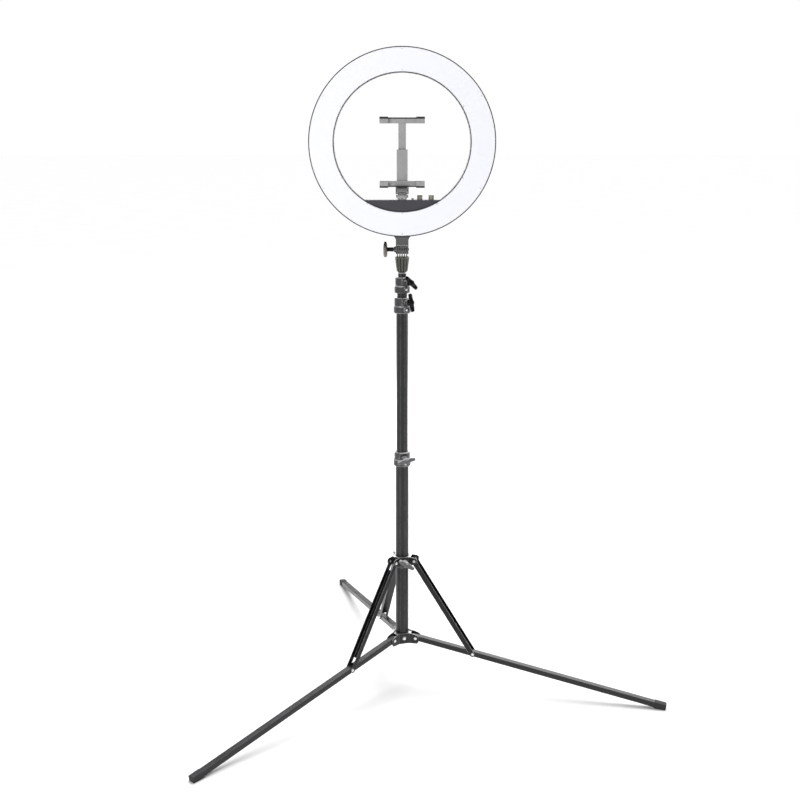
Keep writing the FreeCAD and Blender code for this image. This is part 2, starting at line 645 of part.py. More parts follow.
def control_box_cover():
    cover = segment(OPENING_R, BOX_TOP_Z, BOX_Y[1], RING_HALF_DEPTH)
    holes = [rod(SCREW_R, V(x, 5, z), V(x, 30, z)) for x, z in COVER_SCREWS]
    holes.append(rod(5.5, V(INLET[0], 0, INLET[1]), V(INLET[0], 30, INLET[1])))
    return without(cover, holes)


def driver_board():
    """Power board with its coil, two capacitors and chip, and the two dial potentiometers."""
    board = block(-50, 34, -6.0, -4.4, 1313.2, 1326.5)
    coil = rod(5.0, V(-5, -4.4, 1320), V(-5, 2.6, 1320))
    capacitors = [rod(3.5, V(x, -4.4, 1319.5), V(x, 6.5, 1319.5)) for x in (-22.0, 10.0)]
    chip = block(16, 24, -7.6, -6.0, 1316, 1324)
    pots = []
    for x in DIAL_X:
        case = block(x - 3.8, x + 3.8, -4.5, 4.5, 1324.4, 1329.8)
        pots.append(fused([case, post(3.0, 1329, DIAL_TOP_Z - 3, x)]))
    return group([board, coil, chip] + capacitors + pots)


def dial(x):
    """Knurled control knob with a pointer groove on its top."""
    body = lathe([V(x, 0, 1332.4), V(x + DIAL_R, 0, 1332.4), V(x + DIAL_R, 0, DIAL_TOP_Z - 0.8),
                  V(x + DIAL_R - 0.8, 0, DIAL_TOP_Z), V(x, 0, DIAL_TOP_Z)], V(x, 0, 0), Z_AXIS)
    tools = [post(3.0 + RUNNING, 1330, DIAL_TOP_Z - 2.6, x),
             block(x - 0.5, x + 0.5, -8, -2, DIAL_TOP_Z - 0.5, DIAL_TOP_Z + 1)]
    for i in range(20):
        a = math.radians(360.0 / 20 * i + 9)
        tools.append(post(0.5, 1334, DIAL_TOP_Z + 1, x + (DIAL_R + 0.1) * math.cos(a),
                          (DIAL_R + 0.1) * math.sin(a)))
    return without(body, tools)


def power_switch():
    """Slide switch: a ribbed thumb piece on a plate behind the slot."""
    thumb = block(SWITCH_X - 3, SWITCH_X + 3, -1.5, 1.5, BOX_TOP_Z - 3, BOX_TOP_Z + 4)
    plate = block(SWITCH_X - 4.6, SWITCH_X + 4.6, -3, 3, BOX_TOP_Z - 4, BOX_TOP_Z - 2.3)
    ribs = [block(SWITCH_X + x - 0.35, SWITCH_X + x + 0.35, -2, 2, BOX_TOP_Z + 3.5, BOX_TOP_Z + 5)
            for x in (-1.6, 0.0, 1.6)]
    return without(fused([thumb, plate]), ribs)


def dc_inlet():
    """Barrel socket with its centre contact."""
    x, z = INLET
    body = rod(5.5, V(x, 3, z), V(x, 18, z))
    flange = rod(7.2, V(x, RING_HALF_DEPTH, z), V(x, RING_HALF_DEPTH + 1.6, z))
    bore = rod(2.9, V(x, 8, z), V(x, 25, z))
    contact = rod(1.05, V(x, 7, z), V(x, 17.6, z))
    return fused([without(fused([body, flange]), [bore]), contact])


# ---- tablet holder --------------------------------------------------------------
def cold_shoe():
    """Accessory shoe: a floor with two lipped rails."""
    floor = block(-12, 12, -11, 11, BOX_TOP_Z, BOX_TOP_Z + 1.6)
    rails = []
    for side in (-1, 1):
        lip = sorted((side * 6.6, side * 12))
        wall = sorted((side * 9.5, side * 12))
        rails.append(block(wall[0], wall[1], -11, 11, BOX_TOP_Z, BOX_TOP_Z + 5.2))
        rails.append(block(lip[0], lip[1], -11, 11, BOX_TOP_Z + 3.8, BOX_TOP_Z + 5.2))
    stop = block(-12, 12, 9.6, 11, BOX_TOP_Z, BOX_TOP_Z + 3.6)
    return fused([floor, stop] + rails)


def holder_foot():
    """Plate that slides into the shoe, with the post of the holder."""
    plate = block(-9.2, 9.2, -9.2, 9.2, BOX_TOP_Z + 1.7, BOX_TOP_Z + 3.6)
    return fused([plate, post(4.0, BOX_TOP_Z + 3, 1352)])


def holder_nut():
    """Knurled ring that clamps the foot in its shoe."""
    nut = lathe_z([(4.3, 1337.4), (15.4, 1337.4), (16.2, 1338.2), (16.2, 1343.4), (15.4, 1344.2), (4.3, 1344.2)])
    step = math.radians(10)
    knurl = [post(0.8, 1330, 1350, 16.4 * math.cos(step * i), 16.4 * math.sin(step * i))
             for i in range(36)]
    return without(nut, knurl)


def holder_block():
    """Turning head of the holder: a barrel across a round base."""
    base = post(12.0, 1344.6, 1349)
    barrel = rod(9.0, V(-13.4, 0, HOLDER_TILT_Z), V(13.4, 0, HOLDER_TILT_Z))
    post_hole = post(4.3, 1340, 1352.5)
    pivots = [rod(2.5 + RUNNING, V(s * 8, 0, HOLDER_TILT_Z), V(s * 20, 0, HOLDER_TILT_Z)) for s in (-1, 1)]
    return without(fused([base, barrel]), [post_hole] + pivots)


def jaw_pair(inner_z, direction):
    """Two L-shaped jaws; inner_z is the face that the tablet's edge meets."""
    jaws = []
    shelf = sorted((inner_z, inner_z - direction * 3))
    lip = sorted((inner_z - direction * 3, inner_z + direction * 13))
    for x in (-JAW_X, JAW_X):
        half = JAW_WIDTH / 2
        jaws.append(block(x - half, x + half, -15, 4.5, shelf[0], shelf[1]))
        front = block(x - half, x + half, -15, -12.6, lip[0], lip[1])
        jaws.append(rounded(front, 3.0, lambda e: along(Y_AXIS)(e) and abs(e.BoundBox.ZMin - shelf[0]) > 5))
    return jaws


def jaw_pads(inner_z, direction):
    """Rubber linings of a pair of jaws."""
    pads = []
    seat = sorted((inner_z, inner_z + direction * 1.4))
    lip = sorted((inner_z, inner_z + direction * 12))
    for x in (-JAW_X, JAW_X):
        half = JAW_WIDTH / 2 - 1.2
        pads.append(fused([block(x - half, x + half, -12.6, 1.4, seat[0], seat[1]),
                           block(x - half, x + half, -12.6, -11.4, lip[0], lip[1])]))
    return group(pads)


LOWER_JAW_Z = JAW_BOTTOM_Z + 3
UPPER_JAW_Z = JAW_TOP_Z - 3
GUIDE_Z = (1430.0, 1460.0)


def holder_frame():
    """Tilting yoke, spine, guide for the slider and the two lower jaws."""
    cheeks = []
    for side in (-1, 1):
        wide = sorted((side * 13.8, side * 16.6))
        cheeks.append(block(wide[0], wide[1], -9, 9, HOLDER_TILT_Z, 1367))
        cheeks.append(rod(9.0, V(wide[0], 0, HOLDER_TILT_Z), V(wide[1], 0, HOLDER_TILT_Z)))
        cheeks.append(rod(2.5, V(side * 9.5, 0, HOLDER_TILT_Z), V(side * 15, 0, HOLDER_TILT_Z)))
    bridge = block(-16.6, 16.6, -9, 9, HOLDER_TILT_Z + 9.4, 1367)
    crossbar = block(-JAW_X - 11, JAW_X + 11, 1.4, 4.5, 1364.4, 1380)
    spine = block(-14, 14, 4.4, 7.6, 1364.4, GUIDE_Z[1])
    guide = [block(s * 12 - 2, s * 12 + 2, 7, 13.4, *GUIDE_Z) for s in (-1, 1)]
    back = block(-14, 14, 11.2, 13.4, *GUIDE_Z)
    stud_hole = rod(2.08, V(0, 10, 1445), V(0, 20, 1445))
    parts = cheeks + [bridge, crossbar, spine, back] + guide + jaw_pair(LOWER_JAW_Z, 1)
    frame = fused(parts)
    slider_room = block(-10, 10, 7.9, 11.2, GUIDE_Z[0] - 5, GUIDE_Z[1] + 5)
    return without(frame, [slider_room, stud_hole])


def holder_slider():
    """Upper jaws on a rail that runs in the guide."""
    rail = block(-9.7, 9.7, 8.2, 10.9, 1422, 1540)
    head = block(-9.7, 9.7, 1.4, 10.9, 1526, 1540)
    crossbar = block(-JAW_X - 11, JAW_X + 11, 1.4, 4.5, 1526, 1541)
    return fused([rail, head, crossbar] + jaw_pair(UPPER_JAW_Z, -1))


def holder_lock_knob():
    """Thumb screw that clamps the rail in the guide."""
    stud = rod(2.0, V(0, 11.0, 1445), V(0, 18, 1445))
    grip = rod(8.5, V(0, 14.2, 1445), V(0, 22, 1445))
    flutes = []
    for i in range(12):
        a = math.radians(30 * i)
        x = 9.2 * math.cos(a)
        z = 1445 + 9.2 * math.sin(a)
        flutes.append(rod(1.4, V(x, 10, z), V(x, 30, z)))
    return fused([without(grip, flutes), stud])


# ---- the sub-parts --------------------------------------------------------------
def build():
    nodes = {
        "base_tube": grooved_tube(TUBE_R[0], *BASE_TUBE_Z),
        "hub_core": hub_core(),
        "hub_plates": hub_plates(),
        "hub_rivets": hub_rivets(),
        "collar_core": collar_core(),
        "collar_plates": collar_plates(),
        "collar_rivets": collar_rivets(),
        "collar_knob": wing_knob(FRONT_AZIMUTH, COLLAR_KNOB_Z, TUBE_R[0] + 1,
                                 COLLAR_FLAT + PLATE_T + 0.5, 44, -34),
        "section_2_tube": grooved_tube(TUBE_R[1], *SECTION_2_Z),
        "section_3_tube": grooved_tube(TUBE_R[2], *SECTION_3_Z),
        "section_4_tube": grooved_tube(TUBE_R[3], *SECTION_4_Z),
        "spigot": spigot(),
        "grip_cone": grip_cone(),
        "tilt_base": tilt_base(),
        "tilt_bracket": tilt_bracket(),
        "tilt_knob": tilt_knob(),
        "ring_housing": ring_housing(),
        "diffuser": diffuser(),
        "led_board": led_board(),
        "housing_screws": housing_screws(),
        "control_box": control_box(),
        "control_box_cover": control_box_cover(),
        "driver_board": driver_board(),
        "dimmer_knob": dial(DIAL_X[0]),
        "colour_knob": dial(DIAL_X[1]),
        "power_switch": power_switch(),
        "dc_inlet": dc_inlet(),
        "cold_shoe": cold_shoe(),
        "holder_foot": holder_foot(),
        "holder_nut": holder_nut(),
        "holder_block": holder_block(),
        "holder_frame": holder_frame(),
        "holder_slider": holder_slider(),
        "holder_lock_knob": holder_lock_knob(),
        "jaw_pads_lower": jaw_pads(LOWER_JAW_Z, 1),
        "jaw_pads_upper": jaw_pads(UPPER_JAW_Z, -1),
    }
    for name, azimuth in zip(LEG_NAMES, LEG_AZIMUTHS):
        nodes["leg_tube_" + name] = leg_tube(azimuth)
        nodes["leg_foot_" + name] = leg_foot(azimuth)
        nodes["brace_" + name] = brace(azimuth)
        nodes["brace_rivets_" + name] = brace_rivets(azimuth)
    for number, bottom in ((2, SECTION_2_Z[0]), (3, SECTION_3_Z[0]), (4, SECTION_4_Z[0])):
        bore = TUBE_R[number - 2] - TUBE_WALL
        nodes["section_%d_bush" % number] = end_bush(TUBE_R[number - 1], bore, bottom)
    for name, spec in CLAMPS.items():
        nodes[name + "_body"] = clamp_body(spec)
        nodes[name + "_screw"] = clamp_screw(spec)
        nodes[name + "_knob"] = clamp_knob(spec)
    return nodes


os.makedirs("parts", exist_ok=True)
for node, shape in build().items():
    if not shape.isValid():
        print("not valid:", node)
    shape.exportStep("parts/" + node + ".step")
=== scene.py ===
import math

import bmesh
import bpy
from mathutils import Matrix, Vector


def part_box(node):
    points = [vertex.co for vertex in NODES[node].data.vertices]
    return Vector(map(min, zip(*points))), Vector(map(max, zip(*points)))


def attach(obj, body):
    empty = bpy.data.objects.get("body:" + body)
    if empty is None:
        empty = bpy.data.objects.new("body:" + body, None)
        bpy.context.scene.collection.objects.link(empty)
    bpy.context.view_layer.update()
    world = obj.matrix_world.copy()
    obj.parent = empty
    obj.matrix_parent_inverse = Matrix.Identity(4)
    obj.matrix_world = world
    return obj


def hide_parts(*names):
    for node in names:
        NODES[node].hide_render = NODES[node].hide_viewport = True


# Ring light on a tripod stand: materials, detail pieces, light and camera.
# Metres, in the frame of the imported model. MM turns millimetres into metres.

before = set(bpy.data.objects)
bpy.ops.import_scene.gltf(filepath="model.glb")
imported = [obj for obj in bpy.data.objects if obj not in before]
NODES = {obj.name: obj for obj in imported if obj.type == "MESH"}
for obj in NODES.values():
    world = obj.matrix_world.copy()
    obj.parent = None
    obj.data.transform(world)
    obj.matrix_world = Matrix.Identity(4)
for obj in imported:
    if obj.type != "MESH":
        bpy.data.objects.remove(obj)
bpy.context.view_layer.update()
MM = 0.001
LEGS = ("front_left", "right", "rear")


# ---- places read from the frame ---------------------------------------------------
def middle(node):
    low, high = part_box(node)
    return (low + high) / 2


def azimuth(vector):
    return math.atan2(vector[1], vector[0])


LEG_AZIMUTH = {leg: azimuth(middle("leg_foot_" + leg)) for leg in LEGS}
LEG_FALL = math.radians(10.3)           # below level, at rest
BRACE_FALL = math.radians(57.2)
KNUCKLE_SPLIT = 1198 * MM               # painted shade: the slits are painted black above it in one half, below it in the other
LOWER_SHELF = 1367.4 * MM               # painted shade and dark edges: the lower jaw is black below it, the upper jaw above UPPER_SHELF
UPPER_SHELF = 1537.6 * MM
GRIP_FOOT = (14.2 * MM, 1147 * MM)      # radius and height where the cone of the grip starts
GRIP_SPREAD = 0.1235


# ---- materials --------------------------------------------------------------------
class Nodes:
    """Short calls that add shader nodes to one material and link them."""

    def __init__(self, name):
        self.material = bpy.data.materials.new(name)
        self.material.use_nodes = True
        self.tree = self.material.node_tree
        self.tree.nodes.clear()
        self.out = self.tree.nodes.new("ShaderNodeOutputMaterial")

    def add(self, kind, **settings):
        node = self.tree.nodes.new(kind)
        for key, value in settings.items():
            setattr(node, key, value)
        return node

    def link(self, source, target):
        self.tree.links.new(source, target)
        return source

    def place(self, stretch=(1, 1, 1), turn=(0, 0, 0)):
        """Object coordinates, turned and then stretched."""
        coordinates = self.add("ShaderNodeTexCoord")
        mapping = self.add("ShaderNodeMapping", vector_type="TEXTURE")
        mapping.inputs["Rotation"].default_value = turn
        mapping.inputs["Scale"].default_value = stretch
        self.link(coordinates.outputs["Object"], mapping.inputs["Vector"])
        return mapping.outputs["Vector"]

    def noise(self, vector, scale, detail=3.0, rough=0.55):
        node = self.add("ShaderNodeTexNoise")
        node.inputs["Scale"].default_value = scale
        node.inputs["Detail"].default_value = detail
        node.inputs["Roughness"].default_value = rough
        self.link(vector, node.inputs["Vector"])
        return node.outputs["Fac"]

    def spread(self, value, low, high, to_low, to_high):
        """Maps a value from one range to another and holds it there."""
        node = self.add("ShaderNodeMapRange")
        for name, number in (("From Min", low), ("From Max", high), ("To Min", to_low), ("To Max", to_high)):
            node.inputs[name].default_value = number
        self.link(value, node.inputs["Value"])
        return node.outputs["Result"]

    def math(self, operation, a, b=None):
        node = self.add("ShaderNodeMath", operation=operation)
        for socket, value in zip(node.inputs, (a, b)):
            if isinstance(value, (int, float)):
                socket.default_value = value
            elif value is not None:
                self.link(value, socket)
        return node.outputs[0]

    def mix(self, factor, a, b):
        node = self.add("ShaderNodeMix", data_type="RGBA")
        self.link(factor, node.inputs[0])
        for socket, value in ((node.inputs[6], a), (node.inputs[7], b)):
            if isinstance(value, tuple):
                socket.default_value = (*value, 1)
            else:
                self.link(value, socket)
        return node.outputs[2]

    def height(self, vector):
        parts = self.add("ShaderNodeSeparateXYZ")
        self.link(vector, parts.inputs["Vector"])
        return parts.outputs["Z"]

    def groove(self, vector, foot, spread_out, deep, shallow):
        """1 where a point is `deep` inside a cone about Z, 0 where it is only `shallow` inside."""
        parts = self.add("ShaderNodeSeparateXYZ")
        self.link(vector, parts.inputs["Vector"])
        squares = [self.math("MULTIPLY", parts.outputs[i], parts.outputs[i]) for i in (0, 1)]
        radius = self.math("SQRT", self.math("ADD", *squares))
        above = self.math("SUBTRACT", parts.outputs["Z"], foot[1])
        face = self.math("ADD", self.math("MULTIPLY", above, spread_out), foot[0])
        return self.spread(self.math("SUBTRACT", face, radius), shallow, deep, 0.0, 1.0)

    def ledge(self, low, high):
        """1 on slopes that face upwards, 0 on walls: the mask of the painted highlight on top faces."""
        geometry = self.add("ShaderNodeNewGeometry")
        parts = self.add("ShaderNodeSeparateXYZ")
        self.link(geometry.outputs["Normal"], parts.inputs["Vector"])
        return self.spread(parts.outputs["Z"], low, high, 0.0, 1.0)

    def recess(self, reach):
        """1 deep in a groove, 0 on open faces: the mask of painted shade in recesses."""
        shut = self.add("ShaderNodeAmbientOcclusion", samples=8)
        shut.inputs["Distance"].default_value = reach
        return self.spread(shut.outputs["AO"], 0.93, 0.50, 0.0, 1.0)

    def edges(self, radius, low, high):
        """1 along sharp outer edges, 0 on flats, from a rounded normal."""
        soft = self.add("ShaderNodeBevel", samples=6)
        soft.inputs["Radius"].default_value = radius
        geometry = self.add("ShaderNodeNewGeometry")
        dot = self.add("ShaderNodeVectorMath", operation="DOT_PRODUCT")
        self.link(soft.outputs["Normal"], dot.inputs[0])
        self.link(geometry.outputs["Normal"], dot.inputs[1])
        return self.spread(dot.outputs["Value"], high, low, 0.0, 1.0)


def shade(colour, factor):
    return tuple(min(c * factor, 1.0) for c in colour)


def surface(name, colour, metallic=0.0, roughness=0.5, grain=900.0, stretch=(1, 1, 1), turn=(0, 0, 0),
            tone=0.12, bump=0.05, depth=0.1 * MM, edge_scuff_and_highlight=None, edge_scuff_and_highlight_amount=0.6, edge=0.5 * MM, uneven=0.08,
            coat=0.0, specular=0.5, recess_shade=0.0, reach=5 * MM, height_shade=None, groove=None, polished=None,
            emission=None):
    """Moulded, drawn or cast surface: fine grain, broad tone changes, edges lighter as wear and as painted
    highlight.

    The shade by height is painted shade: a colour, a height, and its strength below and above that height.
    groove is
    painted shade in grooves: a colour, the foot of the cone, its spread, and the depths that are fully and
    not at all coloured. The top highlight is a painted highlight: the colour of faces that point upwards.
    The recess shade darkens recesses as painted shade.
    """
    n = Nodes(name)
    shader = n.add("ShaderNodeBsdfPrincipled")
    n.link(shader.outputs["BSDF"], n.out.inputs["Surface"])
    plain = n.place()
    drawn = n.place(stretch, turn)
    fine = n.noise(drawn, grain, 4.0)
    broad = n.noise(plain, 28.0, 3.0)
    mottled = n.math("ADD", n.math("MULTIPLY", fine, 0.6), n.math("MULTIPLY", broad, 0.4))
    base = n.mix(n.spread(mottled, 0.34, 0.66, 0.0, 1.0), shade(colour, 1 - tone), shade(colour, 1 + tone))
    # lighter edges, patchy along their length: wear, and a painted highlight on the edges
    if edge_scuff_and_highlight:
        edge_scuff_and_highlight_mask = n.math("MULTIPLY", n.edges(edge * 1.6, 0.90, 0.995), n.spread(broad, 0.3, 0.62, 0.25, 1.0))
        base = n.mix(n.math("MULTIPLY", edge_scuff_and_highlight_mask, edge_scuff_and_highlight_amount), base, edge_scuff_and_highlight)
    # painted shade: a dark colour below or above one height in the part's own frame
    if height_shade:
        painted = n.spread(n.height(plain), height_shade[1] - 0.1 * MM, height_shade[1] + 0.1 * MM, *height_shade[2])
        base = n.mix(painted, base, height_shade[0])
    # painted highlight: faces that point upwards in the room take a lighter colour
    if polished:
        base = n.mix(n.ledge(0.25, 0.6), base, polished)
    # painted shade: the grooves of a cone take a dark colour by their depth
    if groove:
        base = n.mix(n.groove(plain, *groove[1:]), base, groove[0])
    # painted shade: enclosed recesses darken towards 0.12 of the colour
    if recess_shade:
        base = n.mix(n.math("MULTIPLY", n.recess(reach), recess_shade), base, shade(colour, 0.12))
    n.link(base, shader.inputs["Base Color"])
    scuffed = n.math("ADD", n.math("MULTIPLY", broad, 0.7), n.math("MULTIPLY", fine, 0.3))
    smoothest = max(roughness - uneven, 0.04)
    n.link(n.spread(scuffed, 0.3, 0.7, smoothest, roughness + uneven), shader.inputs["Roughness"])
    rounded = n.add("ShaderNodeBevel", samples=4)
    rounded.inputs["Radius"].default_value = edge
    relief = n.add("ShaderNodeBump")
    relief.inputs["Strength"].default_value = bump
    relief.inputs["Distance"].default_value = depth
    n.link(fine, relief.inputs["Height"])
    n.link(rounded.outputs["Normal"], relief.inputs["Normal"])
    n.link(relief.outputs["Normal"], shader.inputs["Normal"])
    shader.inputs["Metallic"].default_value = metallic
    shader.inputs["Specular IOR Level"].default_value = specular
    shader.inputs["Coat Weight"].default_value = coat
    shader.inputs["Coat Roughness"].default_value = 0.15
    if emission:
        shader.inputs["Emission Color"].default_value = (*emission[0], 1)
        shader.inputs["Emission Strength"].default_value = emission[1]
    return n.material


LONG_Z = (1, 1, 60)         # grain drawn out along the column
LONG_X = (60, 1, 1)         # grain drawn out along a leg or a brace

BLACK = (0.012, 0.0122, 0.0135)
# edge colour of the black tubes, legs and braces: wear and painted highlight
EDGE_SCUFF_AND_HIGHLIGHT_GREY = (0.55, 0.55, 0.56)

ROOM_LIGHT = 0.16           # strengths of the surround, the sun and the softboxes
SUN_LIGHT = 3.15
FRONT_LIGHT = 60
RIM_LIGHT = 20
BACK_LIGHT = 94


def column_tube():
    return surface("drawn_black_tube", BLACK, metallic=0.2, roughness=0.30, grain=2600, stretch=LONG_Z,
                   tone=0.30, bump=0.25, edge_scuff_and_highlight=EDGE_SCUFF_AND_HIGHLIGHT_GREY, edge_scuff_and_highlight_amount=0.35, uneven=0.06, specular=0.45)


def leg_metal(leg):
    turn = (0, LEG_FALL, LEG_AZIMUTH[leg])
    return surface("drawn_leg_" + leg, BLACK, metallic=0.2, roughness=0.28, grain=2600, stretch=LONG_X,
                   turn=turn, tone=0.30, bump=0.22, edge_scuff_and_highlight=EDGE_SCUFF_AND_HIGHLIGHT_GREY, edge_scuff_and_highlight_amount=0.55, uneven=0.06, specular=0.42)


def brace_metal(leg):
    turn = (0, BRACE_FALL, LEG_AZIMUTH[leg])
    return surface("pressed_brace_" + leg, shade(BLACK, 0.8), metallic=0.2, roughness=0.32, grain=1800,
                   stretch=LONG_X, turn=turn, tone=0.25, bump=0.15, edge_scuff_and_highlight=EDGE_SCUFF_AND_HIGHLIGHT_GREY, edge_scuff_and_highlight_amount=0.9,
                   edge=0.9 * MM, specular=0.32)


def paint(node, material):
    mesh = NODES[node].data
    mesh.materials.clear()
    mesh.materials.append(material)


def paint_all(material, nodes):
    for node in nodes:
        paint(node, material)


def paint_column():
    paint_all(column_tube(), ["base_tube", "section_2_tube", "section_3_tube", "section_4_tube"])
    nylon = surface("bush_nylon", (0.06, 0.06, 0.062), roughness=0.5, grain=1500, bump=0.15)
    paint_all(nylon, ["section_2_bush", "section_3_bush", "section_4_bush"])
    bare = surface("turned_aluminium", (0.62, 0.62, 0.63), metallic=1.0, roughness=0.28, grain=2600,
                   stretch=(1, 1, 0.05), tone=0.08, bump=0.15)
    paint("spigot", bare)


def paint_castings():
    # painted highlight on upward faces of plates and castings; edges lighter as wear and painted highlight;
    # recesses of the castings darkened as painted shade
    plate = surface("pressed_black_plate", (0.013, 0.013, 0.0145), metallic=0.3, roughness=0.32, grain=1400,
                    polished=(0.42, 0.42, 0.42), tone=0.2, bump=0.12, edge_scuff_and_highlight=(0.5, 0.5, 0.5), edge_scuff_and_highlight_amount=0.85,
                    edge=0.8 * MM)
    paint_all(plate, ["hub_plates", "collar_plates"])
    cast = surface("cast_grey_alloy", (0.036, 0.037, 0.041), metallic=0.4, roughness=0.33, grain=1500,
                   polished=(0.62, 0.62, 0.62), tone=0.16, bump=0.35, depth=0.15 * MM,
                   edge_scuff_and_highlight=(0.80, 0.80, 0.80), edge_scuff_and_highlight_amount=1.0, edge=1.0 * MM, recess_shade=0.7, reach=8 * MM, coat=0.3)
    paint_all(cast, ["hub_core", "collar_core", "mid_clamp_body", "clamp_2_body", "clamp_3_body"])


def paint_fasteners():
    bright = surface("bright_rivet_steel", (0.88, 0.88, 0.87), metallic=0.55, roughness=0.30, grain=2200,
                     tone=0.05, bump=0.06, edge=0.5 * MM)
    paint_all(bright, ["hub_rivets", "collar_rivets", "mid_clamp_screw", "clamp_2_screw", "clamp_3_screw",
                       "housing_screws"])
    paint_all(bright, ["brace_rivets_" + leg for leg in LEGS])


def paint_legs():
    rubber = surface("foot_rubber", (0.022, 0.022, 0.023), roughness=0.74, grain=1500, tone=0.2, bump=0.45,
                     edge=0.8 * MM)
    for leg in LEGS:
        paint("leg_tube_" + leg, leg_metal(leg))
        paint("brace_" + leg, brace_metal(leg))
        paint("leg_foot_" + leg, rubber)


def paint_knuckle():
    # the ridge edges of the grip are lighter as wear and painted highlight; its flutes are painted shade,
    # near black
    grip = surface("olive_grip_plastic", (0.060, 0.060, 0.042), roughness=0.30, grain=2200, tone=0.14,
                   bump=0.2, edge_scuff_and_highlight=(0.50, 0.49, 0.40), edge_scuff_and_highlight_amount=0.8, edge=0.7 * MM,
                   groove=((0.003, 0.003, 0.003), GRIP_FOOT, GRIP_SPREAD, 0.9 * MM, 0.3 * MM))
    paint("grip_cone", grip)
    # the knuckle castings darken their recesses as painted shade and lighten their edges as wear and painted
    # highlight
    look = {"metallic": 0.3, "roughness": 0.44, "grain": 1700, "tone": 0.18, "bump": 0.4,
            "depth": 0.15 * MM, "edge_scuff_and_highlight": (0.42, 0.42, 0.40), "edge_scuff_and_highlight_amount": 0.7, "edge": 0.5 * MM,
            "recess_shade": 0.95, "reach": 4 * MM}
    # painted shade: the base is black above KNUCKLE_SPLIT and the bracket below it, so the slits between the
    # fins read as shade
    slit_shade_black = (0.004, 0.004, 0.004)
    low = surface("cast_knuckle_base", (0.150, 0.151, 0.147),
                  height_shade=(slit_shade_black, KNUCKLE_SPLIT, (0, 1)), **look)
    high = surface("cast_knuckle_bracket", (0.092, 0.093, 0.091),
                   height_shade=(slit_shade_black, KNUCKLE_SPLIT, (1, 0)), **look)
    paint("tilt_base", low)
    paint("tilt_bracket", high)


def paint_ring():
    housing = surface("housing_moulding", (0.030, 0.030, 0.032), roughness=0.46, grain=2300, tone=0.14,
                      bump=0.35, depth=0.12 * MM, edge=0.7 * MM)
    paint_all(housing, ["ring_housing", "dc_inlet"])
    opal = surface("opal_cover", (0.86, 0.865, 0.90), roughness=0.46, grain=900, tone=0.006, bump=0.03,
                   uneven=0.03, emission=((0.86, 0.88, 1.0), 0.10))
    paint("diffuser", opal)
    paint("led_board", surface("white_board", (0.72, 0.74, 0.72), roughness=0.45, grain=800, tone=0.05))


def paint_control_box():
    box = surface("box_moulding", (0.040, 0.040, 0.047), roughness=0.40, grain=2100, tone=0.14, bump=0.35,
                  depth=0.12 * MM, edge=0.8 * MM)
    paint_all(box, ["control_box", "control_box_cover"])
    paint("driver_board", surface("driver_board_green", (0.03, 0.17, 0.07), roughness=0.4, grain=700))
    # edges of the dials are lighter as wear and painted highlight
    dial = surface("dial_metal", (0.36, 0.345, 0.30), metallic=0.9, roughness=0.26, grain=420,
                   stretch=LONG_Z, tone=0.6, bump=0.2, edge_scuff_and_highlight=(0.8, 0.78, 0.7), edge_scuff_and_highlight_amount=0.6, edge=0.3 * MM)
    paint_all(dial, ["dimmer_knob", "colour_knob"])
    paint("power_switch", surface("switch_grey", (0.28, 0.28, 0.28), roughness=0.45, grain=1500, bump=0.1))


def paint_holder():
    shoe = surface("pressed_shoe_steel", (0.42, 0.42, 0.43), metallic=1.0, roughness=0.32, grain=2000,
                   stretch=(40, 1, 1), tone=0.12, bump=0.1)
    paint_all(shoe, ["cold_shoe", "holder_foot"])
    # edges of the nut and the block are lighter as wear and painted highlight
    nut = surface("holder_nut_grey", (0.36, 0.35, 0.35), roughness=0.38, grain=2200, tone=0.1, bump=0.2,
                  edge_scuff_and_highlight=(0.62, 0.60, 0.60), edge_scuff_and_highlight_amount=0.5, edge=0.6 * MM)
    paint("holder_nut", nut)
    block = surface("holder_plastic", (0.17, 0.17, 0.175), roughness=0.30, grain=2200, tone=0.2, bump=0.2,
                    edge_scuff_and_highlight=(0.60, 0.60, 0.60), edge_scuff_and_highlight_amount=0.9, edge=0.9 * MM)
    paint("holder_block", block)
    jaw_grey = (0.34, 0.34, 0.345)
    look = {"roughness": 0.38, "grain": 2200, "tone": 0.1, "bump": 0.2, "edge": 0.6 * MM}
    # painted shade and dark edges: the lower jaw is black below LOWER_SHELF, the upper jaw above UPPER_SHELF
    jaw_shade_and_edge_black = (0.004, 0.0035, 0.0035)
    low = surface("lower_jaw_plastic", jaw_grey, height_shade=(jaw_shade_and_edge_black, LOWER_SHELF, (1, 0)), **look)
    high = surface("upper_jaw_plastic", jaw_grey, height_shade=(jaw_shade_and_edge_black, UPPER_SHELF, (0, 1)), **look)
    paint("holder_frame", low)
    paint("holder_slider", high)
    pads = surface("jaw_rubber", (0.045, 0.03, 0.026), roughness=0.7, grain=1200, tone=0.2, bump=0.4)
    paint_all(pads, ["jaw_pads_lower", "jaw_pads_upper"])


def make_knobs():
    """Moulded wing knobs, the plain lock knob of the holder, and the tilt knob."""
    # the grey wing knobs take a painted highlight on faces that point upwards
    grey = surface("grey_wing_plastic", (0.11, 0.11, 0.113), roughness=0.34, grain=2400, tone=0.1,
                   bump=0.2, edge=0.9 * MM, polished=(0.50, 0.50, 0.50))
    black = surface("black_wing_plastic", (0.0020, 0.0020, 0.0024), roughness=0.20, grain=2400,
                    tone=0.15, bump=0.2, edge=0.9 * MM, specular=0.12)
    chrome = surface("plated_knob", (0.20, 0.185, 0.165), metallic=1.0, roughness=0.24, grain=2400, tone=0.2,
                     bump=0.08, uneven=0.05)
    bolt_black = surface("blackened_bolt", (0.012, 0.011, 0.010), metallic=0.4, roughness=0.35, grain=2000)
    paint("holder_lock_knob", black)
    for node in ("collar_knob", "mid_clamp_knob"):
        wing_knob(node, grey)
    for node in ("clamp_2_knob", "clamp_3_knob"):
        wing_knob(node, black)
    tilt_knob(chrome, bolt_black)


